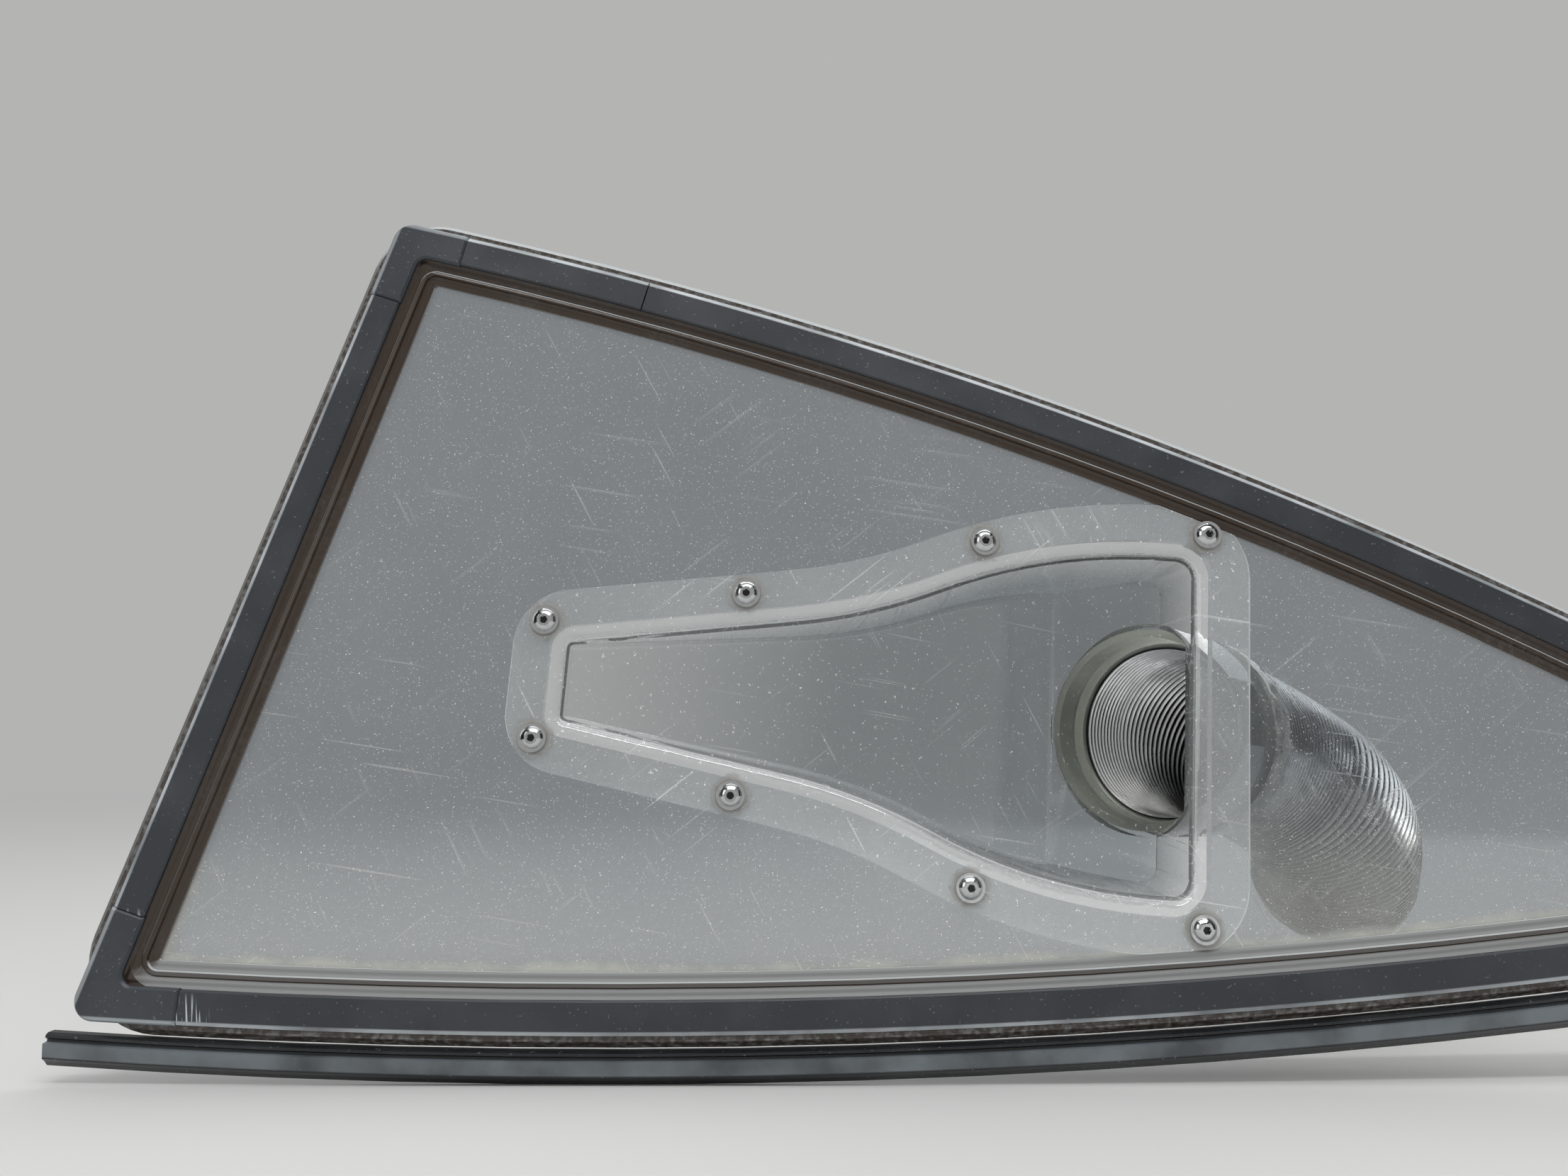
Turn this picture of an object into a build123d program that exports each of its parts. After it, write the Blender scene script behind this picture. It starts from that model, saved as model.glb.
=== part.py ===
"""Rear quarter window of a sports car, with a moulded intake duct and its hose.

The window stands flat and upright. X runs towards the rear of the car, Y inboard and Z up.
The origin lies in the opening, on the plane where the rubber seal seats on the body.
All sizes are in millimetres. An outset is measured outwards from the daylight edge, where
the pane comes into sight, and a rise is measured outboard from the seat.
"""

from build123d import *
from math import atan2, cos, degrees, radians, sin, sqrt
import os

# Daylight opening, seen from outside
window_length = 709.9
front_rise = 286.5
front_rake = 95.0
tip_rise = 37.2
top_bow = 2180.0
bottom_bow = 3360.0
tip_radius = 22.0
foot_ahead = 335.4
foot_below = 140.2

# Pane
pane_thickness = 4.0
pane_stand = 1.0
pane_bite = 9.0
pane_gap = 0.15

# Rubber seal
lip_width = 9.8
lip_tip = 1.2
lip_bead = 1.3
outer_lip_width = 5.8
seat_depth = 8.5
body_groove = 2.4
body_lip_setback = 1.5
body_lip_foot = 2.0
inner_wall = 4.0
inner_lip_setback = 2.0
channel_rise = 5.5
seal_corner = 1.0

# Trim strips and their corner caps
trim_width = 13.2
trim_height = 1.9
trim_bevel = 1.8
trim_rib_width = 1.6
trim_rib_depth = 3.0
trim_gap = 0.1
rib_clearance = 0.25
cap_step = 0.4
cap_outer_radius = 8.0
cap_inner_radius = 4.5
cap_bevel = 0.9
joint_gap = 0.3
crown_cap_down = 29.0
crown_cap_along = 25.0
foot_cap_up = 36.0
foot_cap_along = 34.0
rear_cap_reach = 46.0
butt_joint = 108.0

# Belt strip under the window
sill_height = 13.0
sill_gap = 0.3
sill_ridge = 5.2
sill_ridge_width = 2.6
sill_groove = 3.8
sill_groove_width = 0.8
sill_band = 6.4
sill_edge = 1.2
sill_lead = 38.0
sill_tail = 20.0

# Intake duct, in its own frame: along its axis, across it and outboard
opening_at_duct = 130.57
duct_above_tip = 55.1
duct_tilt = 4.1
duct_wall = 2.5
flange_gap = 0.3
flange_width = 16.5
mouth_length = 273.5
mouth_front_half = 20.7
mouth_waist_half = 36.7
mouth_bend_half = 55.2
mouth_full_half = 75.8
flare_length = 61.0
shoulder_length = 92.0
rear_run = 21.5
mouth_front_radius = 8.0
mouth_rear_radius = 13.0
lip_roll = 6.0
wall_draft = 3.0
ramp_step = 6.0
floor_margin = 1.5
floor_radius = 2.0
cutout_gap = 1.5
lip_clearance = 0.6

# Outlet socket and collar
outlet_ahead = 13.5
outlet_depth = 42.0
outlet_angle = 45.0
collar_wall = 3.3
collar_gap = 0.2
socket_length = 16.0
socket_gap = 0.15
closure_gap = 1.0

# Corrugated hose and the sealant band at its joint
hose_bore_radius = 38.0
hose_wall = 1.0
rib_depth = 2.8
rib_pitch = 8.0
hose_recess = 20.7
hose_insert = 24.5
hose_straight = 34.0
first_bend_radius = 118.0
first_bend_angle = 36.0
first_roll_angle = 44.0
second_bend_radius = 90.0
second_bend_angle = 42.0
second_roll_angle = -63.0
cuff_length = 28.0
joint_lap = 14.0
joint_tail = 9.0
joint_wall = 1.0

# Fixings: flanged button screws with flanged nuts
screw_radius = 2.5
screw_hole_radius = 2.8
head_radius = 4.75
head_height = 2.75
head_flange_radius = 5.9
head_flange_height = 0.8
socket_flats = 3.0
socket_depth = 1.6
seat_gap = 0.05
nut_flats = 8.0
nut_height = 4.7
nut_clearance = 0.05
thread_stand = 1.5

# Stations along the duct, measured from the mouth's front end
mouth_full_at = mouth_length - rear_run
mouth_bend_at = mouth_full_at - shoulder_length
mouth_waist_at = mouth_bend_at - flare_length
outlet_at = mouth_length - outlet_ahead

# Each row is one pair of screws: station, half width there, steps along and across from it
screw_pairs = [
    (0.0, mouth_front_half, -3.6, 3.1),
    (mouth_waist_at, mouth_waist_half, -20.0, 4.3),
    (mouth_bend_at, mouth_bend_half, 18.0, 15.8),
    (mouth_length, mouth_full_half, -1.5, 5.2),
]

# Places worked out from the sizes above
outboard = Vector(0, -1, 0)
foot = (-foot_ahead, -foot_below)
crown = (foot[0] + front_rake, foot[1] + front_rise)
tip = (foot[0] + window_length, foot[1] + tip_rise)
trim_outer = lip_width + trim_width
trim_middle = lip_width + trim_width / 2
trim_base = channel_rise + trim_gap
seal_outer = trim_outer + outer_lip_width
pane_back = pane_stand - pane_thickness
flange_back = pane_stand + flange_gap
flange_front = flange_back + duct_wall
hose_crest = hose_bore_radius + hose_wall + rib_depth
collar_bore = hose_crest + collar_gap
collar_outer = collar_bore + collar_wall
collar_length = hose_recess + hose_insert
socket_bore = collar_outer + socket_gap
turn = radians(outlet_angle)
deep_reach = socket_bore + floor_margin
deep_at = outlet_at - deep_reach * cos(turn)
deep_depth = outlet_depth + deep_reach * sin(turn)
tilt = radians(duct_tilt)
tip_spread = (front_rise - tip_rise) / (window_length - front_rake) + tip_rise / window_length
duct_plane = Plane(
    origin=(
        tip[0] - opening_at_duct / tip_spread - mouth_length * cos(tilt),
        0,
        tip[1] + duct_above_tip + mouth_length * sin(tilt),
    ),
    x_dir=(cos(tilt), 0, -sin(tilt)),
    z_dir=outboard,
)
floor_start = duct_plane.from_local_coords((lip_roll, 0, pane_stand - ramp_step))
floor_end = duct_plane.from_local_coords((deep_at, 0, pane_stand - deep_depth))
ramp = (floor_end - floor_start).normalized()
floor_plane = Plane(
    origin=(floor_start + floor_end) / 2, x_dir=ramp, z_dir=ramp.cross(duct_plane.y_dir)
)
outlet_axis = duct_plane.x_dir * sin(turn) - duct_plane.z_dir * cos(turn)
outlet_plane = Plane(
    origin=duct_plane.from_local_coords((outlet_at, 0, pane_stand - outlet_depth)),
    x_dir=duct_plane.y_dir,
    z_dir=outlet_axis,
)


def save(part, name):
    """Label a finished piece and write it."""
    part.label = name
    export_step(part, f"parts/{name}.step")


def nearest_vertex(vertices, corner):
    """The vertex of a sketch on the window's plane that lies nearest to a corner."""
    return vertices.sort_by_distance(Vertex(corner[0], corner[1], 0))[0]


def window_outline(outset):
    """The daylight outline moved outwards, sharp at the front and round at the rear."""
    with BuildSketch(Plane.XZ) as outline:
        with BuildLine():
            Line(foot, crown)
            RadiusArc(crown, tip, top_bow)
            RadiusArc(tip, foot, bottom_bow)
        make_face()
        fillet(nearest_vertex(outline.vertices(), tip), tip_radius)
        if outset:
            offset(amount=outset, kind=Kind.INTERSECTION)
    return outline.sketch


def rounded_outline(outset, corner, radius):
    """The moved outline with one front corner rounded."""
    moved = window_outline(outset)
    with BuildSketch(Plane.XZ) as outline:
        add(moved)
        fillet(nearest_vertex(outline.vertices(), corner), radius)
    return outline.sketch


def seal_path():
    """The closed path of the rubber's section, on the middle line of the trim."""
    once = rounded_outline(trim_middle, foot, trim_middle + seal_corner)
    with BuildSketch(Plane.XZ) as outline:
        add(once)
        fillet(nearest_vertex(outline.vertices(), crown), trim_middle + seal_corner)
    return outline.sketch.face().outer_wire()


def corner_of(outset, corner):
    """The sharp corner of the moved outline that lies nearest to a corner of the opening."""
    target = Vertex(corner[0], 0, corner[1])
    return Vector(*window_outline(outset).vertices().sort_by_distance(target)[0])


def outwards_at(place, direction):
    """The unit vector square to an outline that points away from the opening."""
    outwards = direction.cross(outboard)
    return outwards if outwards.dot(place) > 0 else -outwards


def sweep_section(path, path_outset, points):
    """Sweep an outline, given as (outset, rise) pairs, along a path of one outset."""
    start, direction = path @ 0, path % 0
    plane = Plane(origin=start, x_dir=outwards_at(start, direction), z_dir=direction)
    side = round(plane.y_dir.dot(outboard))
    with BuildPart() as run:
        with BuildSketch(plane):
            with BuildLine():
                Polyline(*[(out - path_outset, side * rise) for out, rise in points], close=True)
            make_face()
        sweep(path=path)
    return run.part


def joint_on(corner, reach, upright):
    """The place and direction of a trim joint, a distance away from a front corner."""
    start = corner_of(trim_middle, corner)
    edges = window_outline(trim_middle).edges()
    if upright:
        leg = edges.filter_by(GeomType.LINE)[0]
    else:
        leg = edges.filter_by(GeomType.CIRCLE).sort_by_distance(Vertex(*start))[0]
    share = reach / leg.length
    if (leg @ 0 - start).length > (leg @ 1 - start).length:
        share = 1 - share
    return leg @ share, leg % share


def tip_joint(reach, below):
    """The place of a trim joint, a distance ahead of the rear tip, above or below it."""
    edges = window_outline(trim_middle).edges().filter_by(GeomType.CIRCLE)
    bows = edges.sort_by(SortBy.LENGTH)[-2:].sort_by(Axis.Z)
    bow = bows[0] if below else bows[-1]
    share = reach / bow.length
    if (bow @ 0).X < (bow @ 1).X:
        share = 1 - share
    return bow @ share


def trim_run(first, last):
    """The stretch of the trim's middle line between two places, over its start if need be."""
    wire = window_outline(trim_middle).face().outer_wire()
    start, end = wire.param_at_point(first), wire.param_at_point(last)
    if start < end:
        return wire.trim(start, end)
    return Wire([*wire.trim(start, 1).edges(), *wire.trim(0, end).edges()])


def seal_section():
    """The rubber's H-shaped section: pane groove, body groove, two lips and the trim slot."""
    front = pane_stand + pane_gap
    back = pane_back - pane_gap
    pane_floor = pane_bite + pane_gap
    body_floor = seal_outer - seat_depth
    slot_half = trim_rib_width / 2 + rib_clearance
    slot_floor = channel_rise - trim_rib_depth - rib_clearance
    slope = (channel_rise - front - lip_tip) / lip_width
    bead_start, bead_end = 0.35 * lip_width, 0.6 * lip_width
    bead_foot = front + lip_tip + slope * bead_start
    return [
        (0, front),
        (0, front + lip_tip),
        (bead_start, bead_foot),
        (bead_start + 0.4, bead_foot + 0.8 * lip_bead),
        (bead_end - 0.6, bead_foot + lip_bead),
        (bead_end, front + lip_tip + slope * bead_end),
        (lip_width, channel_rise),
        (trim_middle - slot_half, channel_rise),
        (trim_middle - slot_half, slot_floor),
        (trim_middle + slot_half, slot_floor),
        (trim_middle + slot_half, channel_rise),
        (trim_outer + 0.4 * outer_lip_width, channel_rise),
        (seal_outer - 0.15 * outer_lip_width, 0.45 * channel_rise),
        (seal_outer, 0),
        (body_floor, 0),
        (body_floor, -body_groove),
        (seal_outer - body_lip_setback, -body_groove),
        (seal_outer - body_lip_setback, -body_groove - lip_tip),
        (body_floor + body_lip_foot, back - inner_wall),
        (pane_floor, back - inner_wall),
        (inner_lip_setback, back - lip_tip),
        (lip_tip, back),
        (pane_floor, back),
        (pane_floor, front),
    ]


def trim_section(grow=0.0):
    """A trim strip's section: a flat face, a bevelled outer edge and a rib below."""
    inner, outer = lip_width - grow, trim_outer + grow
    top = trim_base + trim_height + grow
    half = trim_rib_width / 2
    return [
        (inner, trim_base),
        (inner, top - 0.6),
        (inner + 0.6, top),
        (outer - trim_bevel, top),
        (outer, top - 0.5 * trim_bevel),
        (outer, trim_base),
        (trim_middle + half, trim_base),
        (trim_middle + half, trim_base - trim_rib_depth),
        (trim_middle - half, trim_base - trim_rib_depth),
        (trim_middle - half, trim_base),
    ]


def corner_cap(corner, up_reach, along_reach):
    """A moulded cap round one front corner of the trim, cut square at both ends."""
    ends = []
    for reach, upright in ((up_reach, True), (along_reach, False)):
        place, direction = joint_on(corner, reach, upright)
        across = outwards_at(place, direction) * trim_outer
        ends.append((place + across, place - across))
    (up_out, up_in), (along_out, along_in) = ends
    around = [up_out, up_in, along_in, along_out, corner_of(3 * trim_outer, corner)]
    outer_edge = rounded_outline(trim_outer + cap_step, corner, cap_outer_radius)
    inner_edge = rounded_outline(lip_width - cap_step, corner, cap_inner_radius)
    with BuildPart() as cap:
        with BuildSketch(Plane.XZ.offset(trim_base)):
            add(outer_edge)
            add(inner_edge, mode=Mode.SUBTRACT)
            with BuildLine():
                Polyline(*[(point.X, point.Z) for point in around], close=True)
            make_face(mode=Mode.INTERSECT)
        extrude(amount=trim_height + cap_step)
        chamfer(cap.faces().sort_by(Axis.Y)[0].edges(), cap_bevel)
    return cap.part


def bottom_arc(outset, lead, tail):
    """The window's bottom edge moved outwards and run on past the corners at both ends."""
    with BuildLine(Plane.XZ):
        edge = RadiusArc(tip, foot, bottom_bow)
    centre = edge.arc_center
    front_angle = degrees(atan2(foot[1] - centre.Z, foot[0] - lead - centre.X))
    rear_angle = degrees(atan2(tip[1] - centre.Z, tip[0] + tail - centre.X))
    with BuildLine(Plane.XZ) as moved:
        CenterArc(
            (centre.X, centre.Z), bottom_bow + outset, front_angle, rear_angle - front_angle
        )
    return moved.wires()[0]


def sill_section():
    """The belt strip's section: a narrow ridge by the rubber, a groove and a broad band."""
    inner = seal_outer + sill_gap
    ridge_end = inner + sill_ridge_width
    band_start = ridge_end + sill_groove_width
    outer = inner + sill_height
    return [
        (inner, 0),
        (inner, sill_groove),
        (inner + 0.3 * sill_ridge_width, sill_ridge),
        (inner + 0.7 * sill_ridge_width, sill_ridge),
        (ridge_end, sill_groove),
        (band_start, sill_groove),
        (band_start + 0.5 * sill_groove_width, sill_band),
        (outer - 0.25 * sill_height, 0.8 * sill_band),
        (outer - 0.15 * sill_height, 0.5 * sill_band),
        (outer, sill_edge),
        (outer, 0),
    ]


def mouth_outline(outset, rounded=True):
    """The line where the duct's lip begins, moved outwards, in the duct's own frame."""
    with BuildSketch() as mouth:
        with BuildLine():
            nose = Line((0, 0), (0, mouth_front_half))
            side = Line(nose @ 1, (mouth_waist_at, mouth_waist_half))
            flare = TangentArc(side @ 1, (mouth_bend_at, mouth_bend_half), tangent=side % 1)
            shoulder = TangentArc(flare @ 1, (mouth_full_at, mouth_full_half), tangent=flare % 1)
            top = Line(shoulder @ 1, (mouth_length, mouth_full_half))
            Line(top @ 1, (mouth_length, 0))
            mirror(about=Plane.XZ)
        make_face()
        if rounded:
            nose_ends = mouth.vertices().filter_by(lambda v: v.Y != 0).group_by(Axis.X)[0]
            fillet(nose_ends, mouth_front_radius)
            rear_ends = mouth.vertices().filter_by(lambda v: abs(v.Y) > mouth_bend_half)
            fillet(rear_ends.group_by(Axis.X)[-1], mouth_rear_radius)
        if outset:
            offset(amount=outset, kind=Kind.ARC if rounded else Kind.INTERSECTION)
    return mouth.sketch


def screw_places():
    """The screws' places in the duct's frame, on the middle line of the flange."""
    line = mouth_outline(flange_width / 2).face().outer_wire()
    places = []
    for station, half_width, along, across in screw_pairs:
        for side in (1, -1):
            place = Vertex(station + along, side * (half_width + across), 0)
            spot = line.distance_to_with_closest_points(place)[1]
            places.append((spot.X, spot.Y))
    return places


def upright_edges(space):
    """The edges of a solid that run inboard, in order along the duct."""
    edges = space.edges().filter_by(lambda edge: abs((edge % 0.5).dot(outboard)) > 0.9)
    return edges.sort_by(Axis(duct_plane.origin, duct_plane.x_dir))


def air_space(grow):
    """The duct's inner space, or its outside with grow: mouth, side walls, ramp and end wall."""
    inward = Plane(
        origin=duct_plane.from_local_coords((0, 0, flange_front)),
        x_dir=duct_plane.x_dir,
        z_dir=-duct_plane.z_dir,
    )
    outline = mouth_outline(grow - lip_roll, rounded=False)
    with BuildPart() as space:
        with BuildSketch(inward):
            add(outline)
        extrude(amount=flange_front + deep_depth + 2 * duct_wall, taper=wall_draft)
        fillet(upright_edges(space)[:2], mouth_front_radius - lip_roll + grow)
        fillet(upright_edges(space)[-2:], mouth_rear_radius - lip_roll + grow)
        split(bisect_by=floor_plane.offset(-grow), keep=Keep.TOP)
        split(bisect_by=outlet_plane.offset(grow), keep=Keep.BOTTOM)
        floor = space.faces().sort_by_distance(floor_plane.offset(-grow).origin)[0]
        fillet(floor.edges(), floor_radius + grow)
    return space.part


def socket_form(radius, depth, length):
    """The outlet's round form, cut flat at a depth behind the pane."""
    with BuildPart() as form:
        with BuildSketch(outlet_plane.offset(-2 * radius)):
            Circle(radius)
        extrude(amount=2 * radius + length)
        split(bisect_by=duct_plane.offset(pane_stand - depth), keep=Keep.BOTTOM)
    return form.part


def build_duct():
    """The clear moulded duct: flange, rolled lip, walls, ramp and outlet socket in one wall."""
    flange, daylight = mouth_outline(flange_width), window_outline(-lip_clearance)
    outside, inside = air_space(duct_wall), air_space(0)
    closure = pane_thickness + closure_gap
    socket_outside = socket_form(socket_bore + duct_wall, closure, socket_length)
    socket_inside = socket_form(socket_bore, closure + duct_wall, socket_length)
    with BuildPart() as duct:
        with BuildSketch(duct_plane.offset(flange_back)):
            add(flange)
        extrude(amount=duct_wall)
        with BuildSketch(Plane.XZ.offset(flange_back)):
            add(daylight)
        extrude(amount=duct_wall, mode=Mode.INTERSECT)
        add(outside)
        back = duct.faces().filter_by(Axis.Y).sort_by(Axis.Y)[-1]
        fillet(back.inner_wires()[0].edges(), lip_roll - duct_wall)
        add(socket_outside)
        add(inside, mode=Mode.SUBTRACT)
        add(socket_inside, mode=Mode.SUBTRACT)
        front = duct.faces().filter_by(Axis.Y).sort_by(Axis.Y)[0]
        fillet(front.inner_wires()[0].edges(), lip_roll)
        with Locations(duct_plane.offset(flange_front)):
            with Locations(*screw_places()):
                Hole(screw_hole_radius, depth=duct_wall)
    return duct.part


def build_pane():
    """The clear pane with its cut-out for the duct and its screw holes."""
    outline, cutout = window_outline(pane_bite), mouth_outline(cutout_gap)
    with BuildPart() as pane:
        with BuildSketch(Plane.XZ.offset(pane_stand)):
            add(outline)
        extrude(amount=-pane_thickness)
        fillet(pane.edges().filter_by(Axis.Y).sort_by(Axis.X)[:2], pane_bite + seal_corner)
        with BuildSketch(duct_plane.offset(pane_stand)):
            add(cutout)
        extrude(amount=-pane_thickness, mode=Mode.SUBTRACT)
        with Locations(duct_plane.offset(pane_stand)):
            with Locations(*screw_places()):
                Hole(screw_hole_radius, depth=pane_thickness)
    return pane.part


def build_collar():
    """The clear tube bonded into the duct's outlet, which takes the hose's end."""
    with BuildPart() as collar:
        with BuildSketch(outlet_plane):
            Circle(collar_outer)
            Circle(collar_bore, mode=Mode.SUBTRACT)
        extrude(amount=collar_length)
    return collar.part


def across_at(heading):
    """The duct's across direction, made square to a heading."""
    across = duct_plane.y_dir
    return (across - heading * across.dot(heading)).normalized()


def bend_plane(place, heading, roll):
    """The plane of a bend: its x runs on along the hose and its y points into the bend."""
    across = across_at(heading)
    inwards = heading.cross(across) * sin(radians(roll)) - across * cos(radians(roll))
    return Plane(origin=place, x_dir=heading, z_dir=heading.cross(inwards))


def hose_stretches():
    """The hose's middle line in three stretches: straight, bending down, bending inboard."""
    start = outlet_plane.origin + outlet_axis * hose_recess
    with BuildLine(Plane(origin=start, x_dir=outlet_axis, z_dir=across_at(outlet_axis))) as run:
        Line((0, 0), (hose_straight, 0))
    straight = run.wires()[0]
    with BuildLine(bend_plane(straight @ 1, straight % 1, first_roll_angle)) as first:
        JernArc((0, 0), (1, 0), radius=first_bend_radius, arc_size=first_bend_angle)
    turned = first.wires()[0]
    with BuildLine(bend_plane(turned @ 1, turned % 1, second_roll_angle)) as second:
        JernArc((0, 0), (1, 0), radius=second_bend_radius, arc_size=second_bend_angle)
    return straight, turned, second.wires()[0]


def rings(stretch, crest, root):
    """Discs along a stretch, by turns as wide as a root and as a crest."""
    discs = []
    steps = 2 * round(stretch.length / rib_pitch)
    for step in range(steps + 1):
        place, heading = stretch @ (step / steps), stretch % (step / steps)
        with BuildSketch(Plane(origin=place, x_dir=across_at(heading), z_dir=heading)) as ring:
            Circle(crest if step % 2 else root)
        discs.append(ring.sketch.face())
    return discs


def build_hose(stretch, cuff=0.0):
    """One stretch of the corrugated metal hose, with a plain cuff if it has one."""
    root = hose_bore_radius + hose_wall
    with BuildPart() as hose:
        loft(rings(stretch, hose_crest, root), ruled=True)
        inner_rings = rings(stretch, hose_crest - hose_wall, hose_bore_radius)
        loft(inner_rings, ruled=True, mode=Mode.SUBTRACT)
        if cuff:
            with BuildSketch(Plane(origin=stretch @ 1, z_dir=stretch % 1)):
                Circle(root)
                Circle(hose_bore_radius, mode=Mode.SUBTRACT)
            extrude(amount=cuff)
    return hose.part


def build_joint():
    """The clear sealant band over the collar's end and the hose's first ribs."""
    inner, narrow = collar_outer + collar_gap, hose_crest + collar_gap
    start, end = collar_length - joint_lap, collar_length + joint_tail
    step = collar_length + collar_gap
    section = Plane(
        origin=outlet_plane.origin, x_dir=outlet_plane.x_dir, z_dir=-outlet_plane.y_dir
    )
    with BuildPart() as joint:
        with BuildSketch(section):
            with BuildLine():
                Polyline(
                    (inner, start),
                    (inner + joint_wall, start),
                    (inner + joint_wall, step),
                    (narrow + joint_wall, end),
                    (narrow, end),
                    (narrow, step),
                    (inner, step),
                    close=True,
                )
            make_face()
        revolve(axis=Axis(outlet_plane.origin, outlet_axis))
    return joint.part


def build_screw(place):
    """A flanged button screw with a hexagon socket, standing on the duct's flange."""
    seat = duct_plane.from_local_coords((*place, flange_front + seat_gap))
    reach = flange_front + seat_gap - pane_back + nut_height + thread_stand
    section = Plane(origin=seat, x_dir=duct_plane.x_dir, z_dir=-duct_plane.y_dir)
    crown_radius = 0.55 * head_radius
    top = Plane(origin=seat + outboard * head_height, x_dir=duct_plane.x_dir, z_dir=outboard)
    with BuildPart() as screw:
        with BuildSketch(section):
            with BuildLine():
                Polyline(
                    (crown_radius, head_height),
                    (0, head_height),
                    (0, -reach),
                    (screw_radius, -reach),
                    (screw_radius, 0),
                    (head_flange_radius, 0),
                    (head_flange_radius, head_flange_height),
                    (head_radius, head_flange_height),
                )
                RadiusArc(
                    (head_radius, head_flange_height), (crown_radius, head_height), -head_radius
                )
            make_face()
        revolve(axis=Axis(seat, outboard))
        with BuildSketch(top):
            RegularPolygon(socket_flats / sqrt(3), 6)
        extrude(amount=-socket_depth, mode=Mode.SUBTRACT)
    return screw.part


def build_nut(place):
    """A flanged hexagon nut on the pane's inner face."""
    seat = duct_plane.from_local_coords((*place, pane_back - seat_gap))
    inward = Plane(origin=seat, x_dir=duct_plane.x_dir, z_dir=-outboard)
    with BuildPart() as nut:
        with BuildSketch(inward):
            RegularPolygon(nut_flats / sqrt(3), 6)
        extrude(amount=nut_height)
        with BuildSketch(inward):
            Circle(head_flange_radius)
        extrude(amount=head_flange_height)
        with BuildSketch(inward):
            Circle(screw_radius + nut_clearance)
        extrude(amount=nut_height, mode=Mode.SUBTRACT)
    return nut.part


def build_trim():
    """Save the trim strips and caps, in order round the window from the front foot."""
    foot_up, _ = joint_on(foot, foot_cap_up, upright=True)
    foot_along, _ = joint_on(foot, foot_cap_along, upright=False)
    crown_down, _ = joint_on(crown, crown_cap_down, upright=True)
    crown_along, _ = joint_on(crown, crown_cap_along, upright=False)
    butt, _ = joint_on(crown, butt_joint, upright=False)
    tip_below = tip_joint(rear_cap_reach, below=True)
    tip_above = tip_joint(rear_cap_reach, below=False)
    runs = [
        ("trim_front", crown_down, foot_up),
        ("trim_top_front", butt, crown_along),
        ("trim_top", tip_above, butt),
        ("trim_bottom", foot_along, tip_below),
    ]
    for name, first, last in runs:
        path = trim_run(first, last)
        shorten = joint_gap / path.length
        save(sweep_section(path.trim(shorten, 1 - shorten), trim_middle, trim_section()), name)
    save(corner_cap(crown, crown_cap_down, crown_cap_along), "cap_front_top")
    save(corner_cap(foot, foot_cap_up, foot_cap_along), "cap_front_bottom")
    rear = sweep_section(trim_run(tip_below, tip_above), trim_middle, trim_section(cap_step))
    save(rear, "cap_rear")


os.makedirs("parts", exist_ok=True)
save(build_pane(), "pane")
save(sweep_section(seal_path(), trim_middle, seal_section()), "weather_seal")
build_trim()
sill_outset = seal_outer + sill_gap
save(
    sweep_section(bottom_arc(sill_outset, sill_lead, sill_tail), sill_outset, sill_section()),
    "sill_moulding",
)
save(build_duct(), "duct")
save(build_collar(), "outlet_collar")
start, middle, end = hose_stretches()
save(build_hose(start), "hose_start")
save(build_hose(middle), "hose_middle")
save(build_hose(end, cuff_length), "hose_end")
save(build_joint(), "hose_joint")
for number, place in enumerate(screw_places(), 1):
    save(build_screw(place), f"screw_{number}")
    save(build_nut(place), f"nut_{number}")
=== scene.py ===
"""Looks of a rear quarter window with a moulded intake duct and its metal hose.

Each sub-assembly is a class with its sizes as fields, and each finish is a frozen dataclass
that builds one material. Sizes are in millimetres, apart from the studio's. The frame is the
CAD model's: X runs towards the rear of the car, Y inboard and Z up.

In the finishes, the two numbers after a MapRange's value are where a mask starts and where it
is full, and the next two are what it is there.
"""

import logging
import math
from collections.abc import Sequence
from dataclasses import dataclass, field
from enum import Enum
from typing import Any

import bpy
from mathutils import Matrix, Vector


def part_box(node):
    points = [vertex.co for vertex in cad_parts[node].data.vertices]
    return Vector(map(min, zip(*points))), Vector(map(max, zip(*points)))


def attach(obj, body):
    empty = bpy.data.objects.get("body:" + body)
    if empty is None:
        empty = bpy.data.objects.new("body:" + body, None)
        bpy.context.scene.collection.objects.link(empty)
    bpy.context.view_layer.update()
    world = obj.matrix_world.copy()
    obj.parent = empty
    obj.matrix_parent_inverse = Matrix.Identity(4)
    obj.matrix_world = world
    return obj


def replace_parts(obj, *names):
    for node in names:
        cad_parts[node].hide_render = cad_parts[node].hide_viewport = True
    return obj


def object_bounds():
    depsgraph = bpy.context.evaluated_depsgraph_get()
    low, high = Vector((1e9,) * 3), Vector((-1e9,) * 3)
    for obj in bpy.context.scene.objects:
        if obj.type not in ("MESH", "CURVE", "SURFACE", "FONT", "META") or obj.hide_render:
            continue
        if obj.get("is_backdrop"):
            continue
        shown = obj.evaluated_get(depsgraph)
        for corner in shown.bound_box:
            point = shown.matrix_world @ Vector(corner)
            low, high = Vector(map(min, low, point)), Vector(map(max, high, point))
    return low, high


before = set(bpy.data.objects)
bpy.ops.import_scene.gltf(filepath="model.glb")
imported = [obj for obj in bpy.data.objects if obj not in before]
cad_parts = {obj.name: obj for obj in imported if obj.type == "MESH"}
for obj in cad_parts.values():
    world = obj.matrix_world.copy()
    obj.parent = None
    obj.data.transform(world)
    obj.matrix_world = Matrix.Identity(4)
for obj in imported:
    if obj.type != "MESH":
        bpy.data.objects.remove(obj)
log = logging.getLogger("quarter_window")

MM = 0.001

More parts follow.
